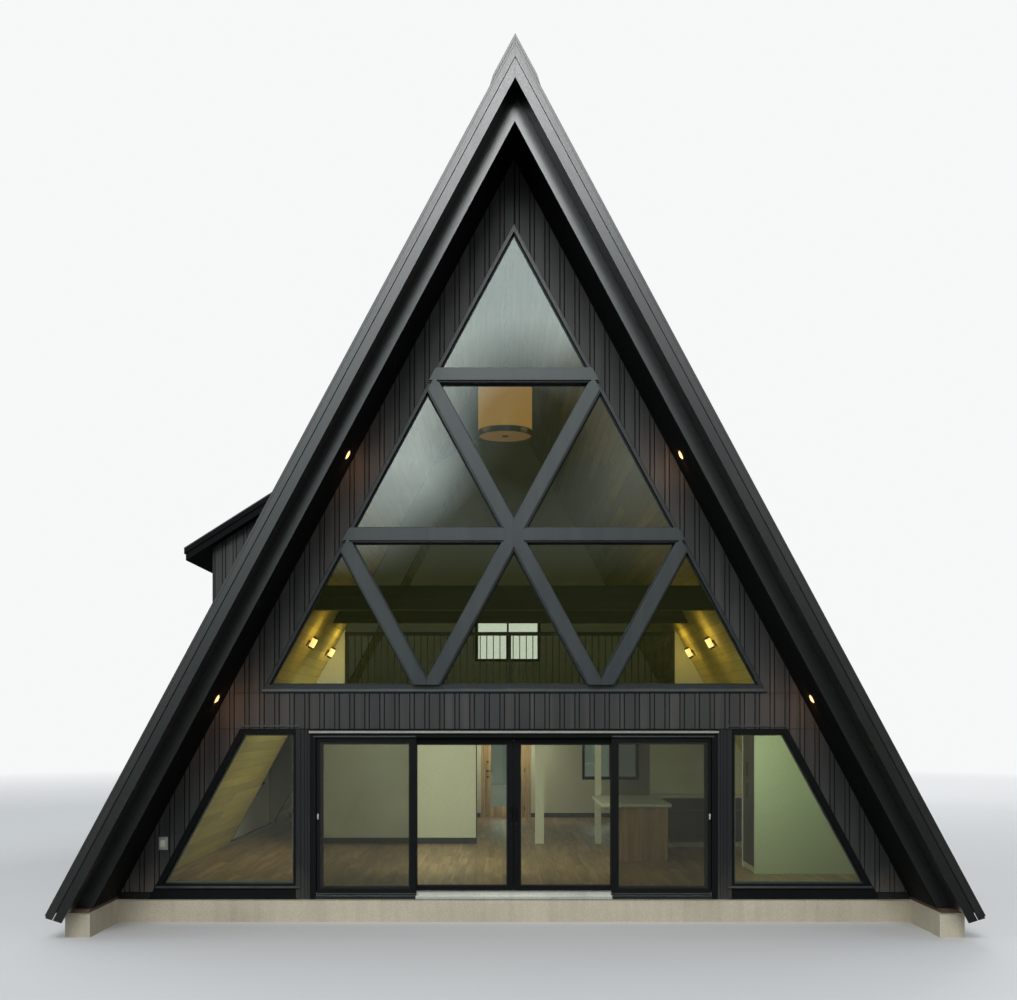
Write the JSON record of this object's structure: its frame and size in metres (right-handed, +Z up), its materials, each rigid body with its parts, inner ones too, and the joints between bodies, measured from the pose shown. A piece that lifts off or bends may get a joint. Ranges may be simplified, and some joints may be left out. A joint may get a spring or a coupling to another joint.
{
  "type": "a-frame cabin",
  "caption": "Black A-frame cabin with a triangular lattice gable window, sliding patio door, slanted side windows, ribbed metal roof and a side dormer.",
  "frame": {"origin": "centre of the foundation's footprint between the side walls, at ground level", "axes": "+X to the right as seen from the front, +Y from the front wall to the back, +Z up"},
  "size_m": [11.4255, 15.3, 10.7298],
  "materials": {
    "concrete": "rough cast concrete, pale beige",
    "treated_timber": "brown preservative-treated plank",
    "oak_floor": "satin planks",
    "soffit_black": "black stained boards, satin",
    "roof_metal": "black ribbed sheet, semi-gloss",
    "fascia_metal": "black sheet-clad fascia, semi-gloss",
    "pale_plaster": "off-white painted wallboard, matt",
    "dark_siding": "charcoal vertical boards, satin",
    "black_frame": "black coated window metal, satin",
    "clear_glass": "clear insulating glass",
    "sill_metal": "satin mill finish",
    "screen_mesh": "grey insect mesh in a black frame",
    "door_wood": "unpainted softwood",
    "rail_metal": "black powder coat, satin",
    "dark_beams": "dark stained timber, satin",
    "kitchen_wood": "light timber with pale worktops and end panels",
    "lamp": "warm lens in a black ring",
    "grey_plastic": "grey weatherproof cover"
  },
  "bodies": {
    "cabin": {"foundation_side_walls": "concrete", "foundation_end_walls": "concrete", "sill_plates": "treated_timber", "ground_floor": "oak_floor", "loft_floor": "oak_floor", "roof_right": "soffit_black", "roof_left_front": "soffit_black", "roof_left_upper": "soffit_black", "roof_left_back": "soffit_black", "metal_roofing": "roof_metal", "ridge_cap": "roof_metal", "dormer_roof": "roof_metal", "outer_rakes": "fascia_metal", "inner_rakes": "fascia_metal", "roof_lining": "pale_plaster", "inner_walls": "pale_plaster", "front_gable_walls": "dark_siding", "belt_wall": "dark_siding", "front_lower_walls": "dark_siding", "dormer_long_wall": "dark_siding", "dormer_end_walls": "dark_siding", "back_lower_walls": "dark_siding", "back_gable_wall": "dark_siding", "triangle_window_frame": "black_frame", "window_beams": "black_frame", "window_diagonals": "black_frame", "window_frames": "black_frame", "door_head": "black_frame", "door_jambs": "black_frame", "fixed_panel_frames": "black_frame", "triangle_glass": "clear_glass", "window_glass": "clear_glass", "door_sill": "sill_metal", "loft_railing": "rail_metal", "tie_beams": "dark_beams", "kitchen_units": "kitchen_wood", "lamps": "lamp", "outlet_box": "grey_plastic"},
    "left_slider": {"left_slider_frame": "black_frame", "left_slider_glass": "clear_glass"},
    "right_slider": {"right_slider_frame": "black_frame", "right_slider_glass": "clear_glass"},
    "left_screen_panel": {"left_screen": "screen_mesh"},
    "right_screen_panel": {"right_screen": "screen_mesh"},
    "back_door_leaf": {"back_door": "door_wood"}
  },
  "joints": [
    {"name": "left_slider_slide", "type": "slide", "parent": "cabin", "child": "left_slider", "axis": [-1, 0, 0], "range_m": [0, 1.15]},
    {"name": "right_slider_slide", "type": "slide", "parent": "cabin", "child": "right_slider", "axis": [1, 0, 0], "range_m": [0, 1.15]},
    {"name": "left_screen_slide", "type": "slide", "parent": "cabin", "child": "left_screen_panel", "axis": [1, 0, 0], "range_m": [0, 1.24]},
    {"name": "right_screen_slide", "type": "slide", "parent": "cabin", "child": "right_screen_panel", "axis": [-1, 0, 0], "range_m": [0, 1.24]},
    {"name": "back_door_hinge", "type": "hinge", "parent": "cabin", "child": "back_door_leaf", "pos_m": [0.387, 6.036, 1.3], "axis": [0, 0, 1], "range_deg": [0, 90]}
  ]
}
